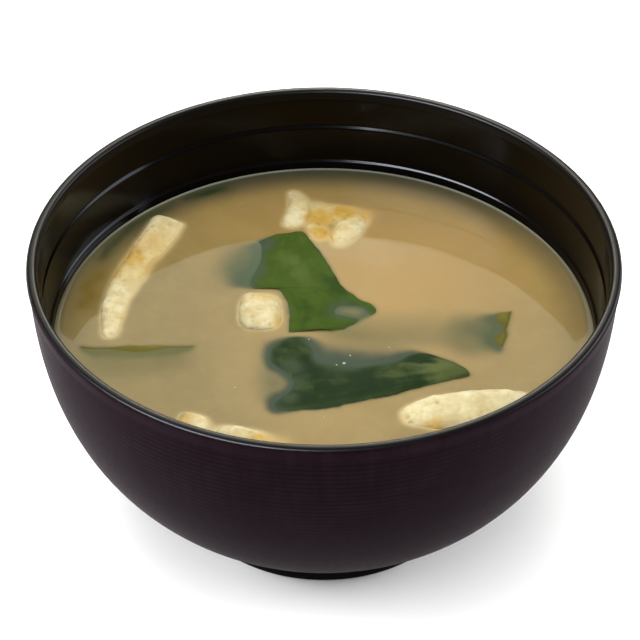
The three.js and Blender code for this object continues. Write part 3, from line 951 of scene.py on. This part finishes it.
def soup_tints(leaves, tofu_field, x, y, edge):
    """What shows through the soup or shades it at x and y, from 0 to 1."""
    stops = field_stops()
    skin = sum(skin_patches(name, stops[:, None], stops[None]) for name in TOFU)
    cream = seen_through(tofu_field, CREAM_FADE)
    tints = {
        "sunk_cream": sampled(cream, x, y),
        "sunk_flesh": sampled(seen_through(tofu_field, FLESH_FADE), x, y),
        "sunk_skin": sampled(cream * blurred(np.clip(skin, 0, 1), SOFT_EDGE), x, y),
        "wall_shade": wall_shade(x, y, edge),
        "warm": sum(amount * np.exp(-((x - cx) ** 2 + (y - cy) ** 2) / radius ** 2)
                    for cx, cy, radius, amount in WARM),
        "contact_highlight": painted_contact_highlight(x, y, edge),
    }
    for kind in WAKAME_COLOURS:
        field = height_field([leaf for name, leaf in leaves.items() if WAKAME_KIND[name] == kind])
        tints["sunk_" + kind] = sampled(seen_through(field, LEAF_FADE), x, y)
    return tints


def build_soup(leaves, tofu, material):
    """The soup, which rises a little where tofu stands out of it and is nowhere quite flat."""
    edge = inside_radius(SOUP_EDGE) + TOUCH
    points, faces = soup_shape(edge)
    x, y = points[:, 0], points[:, 1]
    tofu_field = height_field(tofu)
    emerging = blurred((tofu_field > 0).astype(float), SOFT_EDGE)
    slow = fractal(np.column_stack([x, y, np.zeros(len(x))]), 16, 2)
    rise = TOFU_PULL * sampled(emerging, x, y) + SWELL * slow
    points[:, 2] += np.where(points[:, 2] > LEVEL - 0.01, rise, 0)
    piece = mesh_object("miso_soup", points, faces.tolist(), [material],
                        attributes=soup_tints(leaves, tofu_field, x, y, edge))
    weld(piece, 0.001)
    place(piece, "soup", "soup")


def cloudy_soup():
    material, tree, shader = new_material(
        "cloudy_miso", Roughness=0.05, IOR=1.33, Specular_IOR_Level=0.5,
        Subsurface_Weight=0.2, Subsurface_Scale=0.002)
    clouds = remap(tree, noise_field(tree, 22, 3, distortion=0.6), 0.35, 0.65)
    wisps = remap(tree, noise_field(tree, 4.5, 4, distortion=1.0), 0.35, 0.7)
    cool = mixed(tree, clouds, (0.168, 0.122, 0.044), (0.194, 0.142, 0.052))
    base = mixed(tree, stored(tree, "warm"), cool, (0.268, 0.166, 0.050))
    base = mixed(tree, calculated(tree, "MULTIPLY", wisps, 0.15), base, (0.26, 0.19, 0.078))
    base = mixed(tree, stored(tree, "wall_shade"), base, (0.040, 0.040, 0.024))
    base = mixed(tree, stored(tree, "sunk_cream"), base, (0.33, 0.24, 0.10))
    base = mixed(tree, stored(tree, "sunk_flesh"), base, (0.42, 0.34, 0.17))
    base = mixed(tree, stored(tree, "sunk_skin"), base, (0.39, 0.228, 0.044))
    for kind, colours in WAKAME_COLOURS.items():
        base = mixed(tree, stored(tree, "sunk_" + kind), base, colours["sunk"])
    # painted highlight along the soup's edge at the wall
    base = mixed(tree, stored(tree, "contact_highlight"), base, (0.20, 0.205, 0.160))
    connect(tree, shader, Base_Color=base)
    return material


def build_bubbles(material):
    """Small domes of foam that stand on the soup, joined into one piece."""
    points, faces = [], []
    for x, y, radius in BUBBLES:
        start = len(points)
        for lean in np.linspace(0, BUBBLE_LEAN, BUBBLE_RINGS + 1):
            for turn in np.arange(BUBBLE_SIDES) * 2 * math.pi / BUBBLE_SIDES:
                points.append([x + radius * math.sin(lean) * math.cos(turn),
                               y + radius * math.sin(lean) * math.sin(turn),
                               LEVEL + radius * (0.1 + 0.5 * math.cos(lean))])
        faces += (ring_faces(BUBBLE_RINGS + 1, BUBBLE_SIDES) + start).tolist()
        faces.append([start + BUBBLE_RINGS * BUBBLE_SIDES + side for side in range(BUBBLE_SIDES)])
    piece = mesh_object("foam_bubbles", points, faces, [material])
    weld(piece, 0.001)
    place(piece, "soup")


def foam():
    material, tree, shader = new_material("bubble_foam", Roughness=0.12, Specular_IOR_Level=0.6)
    froth = remap(tree, noise_field(tree, 1.5, 2), 0.3, 0.7)
    colour = mixed(tree, froth, (0.30, 0.28, 0.19), (0.40, 0.38, 0.28))
    connect(tree, shader, Base_Color=colour)
    return material


# ---------------------------------------------------------------- the table

FLOOR_SIZE = 6000


def build_floor():
    """A white sweep, far wider than the picture."""
    material, tree, shader = new_material(
        "white_sweep", Roughness=0.9, Specular_IOR_Level=0.0,
        Emission_Color=(1, 1, 1, 1), Emission_Strength=0.05)
    colour = mixed(tree, noise_field(tree, 400, 1), (0.90, 0.90, 0.90), (0.92, 0.92, 0.92))
    connect(tree, shader, Base_Color=colour)
    size = FLOOR_SIZE / 2
    corners = [[-size, -size, 0], [size, -size, 0], [size, size, 0], [-size, size, 0]]
    floor = mesh_object("floor", corners, [[0, 1, 2, 3]], [material])


# ---------------------------------------------------------------- putting it together

add_camera()
add_light()
build_floor()
build_bowl([lacquer_black("foot_lacquer", 0.35, 0.05), lacquer_outside(),
            lacquer_black("lip_lacquer", 0.34, 0.18), lacquer_black("inside_lacquer", 0.15, 0.12)])

wakame_materials = {kind: wakame_flesh(kind) for kind in WAKAME_COLOURS}
leaves = {}
for name, leaf in {**WAKAME, **SUNK_WAKAME}.items():
    leaves[name] = leaf_piece(name, leaf, wakame_materials[WAKAME_KIND[name]])
    place(leaves[name], "wakame", *([name] if name in WAKAME else []))

tofu_material = tofu_flesh()
tofu_pieces = [tofu_piece(name, tofu_material) for name in TOFU]
for piece, node in zip(tofu_pieces, TOFU):
    place(piece, "tofu", node)

build_soup(leaves, tofu_pieces, cloudy_soup())
build_bubbles(foam())
